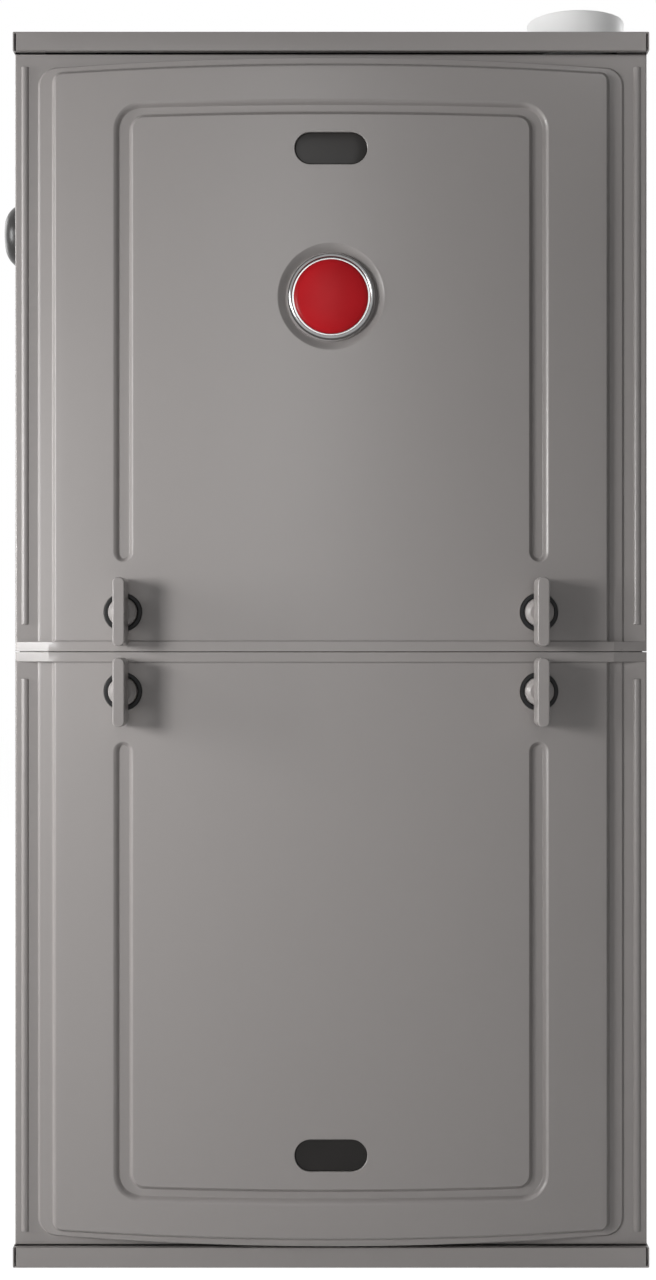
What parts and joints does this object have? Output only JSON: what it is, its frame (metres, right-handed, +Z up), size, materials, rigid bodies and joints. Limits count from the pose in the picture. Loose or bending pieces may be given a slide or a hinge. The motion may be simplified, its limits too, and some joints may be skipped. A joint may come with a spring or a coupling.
{
  "type": "forced air furnace",
  "caption": "Upright condensing gas furnace: grey steel cabinet with bowed lift-off doors on quarter-turn latches, burners and heat exchangers above a direct-drive blower.",
  "frame": {"origin": "centre of the base's bottom face, at the middle of the return air opening", "axes": "+Z up, the doors face -Y, +X to the right as seen from the front"},
  "size_m": [0.4602, 0.7649, 0.8913],
  "materials": {
    "paint": "satin warm grey enamel",
    "knob": "satin warm grey enamel over a moulded core",
    "galvanised": "dull zinc with a faint spangle",
    "stainless": "drawn stainless steel",
    "screw_steel": "bright plated steel",
    "black_rubber": "moulded rubber",
    "dark_lens": "dark tinted, slightly glossy",
    "black_plastic": "moulded black plastic",
    "insulation": "fibre pad",
    "chrome_trim": "polished",
    "red_enamel": "glossy red dome",
    "red_plastic": "moulded red plastic",
    "black_iron": "black pipe",
    "brass": "machined",
    "cast_aluminium": "die-cast",
    "ceramic": "unglazed ceramic, cream",
    "pale_plastic": "moulded off-white plastic",
    "white_pvc": "smooth white pipe plastic",
    "circuit_board": "green board with dark components",
    "laminations": "dark varnished steel stack",
    "motor_paint": "dark blue-grey enamel"
  },
  "bodies": {
    "casing": {"base_pan": "paint", "side_panel_left": "paint", "side_panel_right": "paint", "back_panel": "paint", "top_plate": "paint", "divider_rail": "paint", "blower_deck": "galvanised", "vestibule_panel": "galvanised", "cabinet_screws": "screw_steel", "gas_grommet": "black_rubber", "primary_heat_exchanger": "stainless", "transition_box": "galvanised", "secondary_heat_exchanger": "stainless", "collector_box": "black_plastic", "burner_box": "galvanised", "burners": "galvanised", "gas_manifold": "black_iron", "gas_orifices": "brass", "gas_valve": "cast_aluminium", "igniter": "ceramic", "flame_sensor": "ceramic", "limit_switches": "black_plastic", "pressure_switch": "pale_plastic", "rubber_hoses": "black_rubber", "condensate_trap": "pale_plastic", "inducer_housing": "black_plastic", "inducer_motor": "screw_steel", "vent_elbow": "black_rubber", "hose_clamps": "stainless", "vent_pipe": "white_pvc", "vent_coupling": "white_pvc", "intake_collar": "black_plastic", "board_bracket": "galvanised", "control_board": "circuit_board", "transformer": "laminations", "junction_box": "galvanised", "door_switch": "black_plastic", "blower_housing": "galvanised", "blower_rails": "galvanised", "blower_motor": "motor_paint", "motor_bracket": "screw_steel"},
    "upper_door": {"upper_door": "paint", "upper_window": "dark_lens", "upper_bushes": "black_plastic", "door_insulation": "insulation", "badge_ring": "chrome_trim", "badge_disc": "red_enamel"},
    "lower_door": {"lower_door": "paint", "lower_window": "dark_lens", "lower_bushes": "black_plastic"},
    "knob_upper_left": {"knob_upper_left": "knob"},
    "knob_upper_right": {"knob_upper_right": "knob"},
    "knob_lower_left": {"knob_lower_left": "knob"},
    "knob_lower_right": {"knob_lower_right": "knob"},
    "blower_rotor": {"blower_wheel": "galvanised", "blower_shaft": "screw_steel"},
    "inducer_rotor": {"inducer_wheel": "screw_steel", "inducer_shaft": "screw_steel"},
    "gas_valve_knob": {"gas_valve_knob": "red_plastic"},
    "door_switch_plunger": {"door_switch_plunger": "pale_plastic"}
  },
  "joints": [
    {"name": "upper_door_pull", "type": "slide", "parent": "casing", "child": "upper_door", "axis": [0, -1, 0], "range_m": [0, 0.25]},
    {"name": "lower_door_pull", "type": "slide", "parent": "casing", "child": "lower_door", "axis": [0, -1, 0], "range_m": [0, 0.25]},
    {"name": "knob_upper_left_turn", "type": "hinge", "parent": "upper_door", "child": "knob_upper_left", "pos_m": [-0.1445, -0.36929, 0.4579], "axis": [0, -1, 0], "range_deg": [0, 90]},
    {"name": "knob_upper_right_turn", "type": "hinge", "parent": "upper_door", "child": "knob_upper_right", "pos_m": [0.1445, -0.36929, 0.4579], "axis": [0, -1, 0], "range_deg": [0, 90]},
    {"name": "knob_lower_left_turn", "type": "hinge", "parent": "lower_door", "child": "knob_lower_left", "pos_m": [-0.1445, -0.36929, 0.4029], "axis": [0, -1, 0], "range_deg": [0, 90]},
    {"name": "knob_lower_right_turn", "type": "hinge", "parent": "lower_door", "child": "knob_lower_right", "pos_m": [0.1445, -0.36929, 0.4029], "axis": [0, -1, 0], "range_deg": [0, 90]},
    {"name": "blower_spin", "type": "hinge", "parent": "casing", "child": "blower_rotor", "pos_m": [0, 0.02, 0.2154], "axis": [1, 0, 0], "continuous": true},
    {"name": "inducer_spin", "type": "hinge", "parent": "casing", "child": "inducer_rotor", "pos_m": [0.02, -0.287, 0.5204], "axis": [0, -1, 0], "continuous": true},
    {"name": "gas_valve_turn", "type": "hinge", "parent": "casing", "child": "gas_valve_knob", "pos_m": [-0.126, -0.33, 0.72], "axis": [0, -1, 0], "range_deg": [0, 90]},
    {"name": "door_switch_press", "type": "slide", "parent": "casing", "child": "door_switch_plunger", "axis": [0, 1, 0], "range_m": [0, 0.0025], "stiffness_N_per_m": 300}
  ]
}
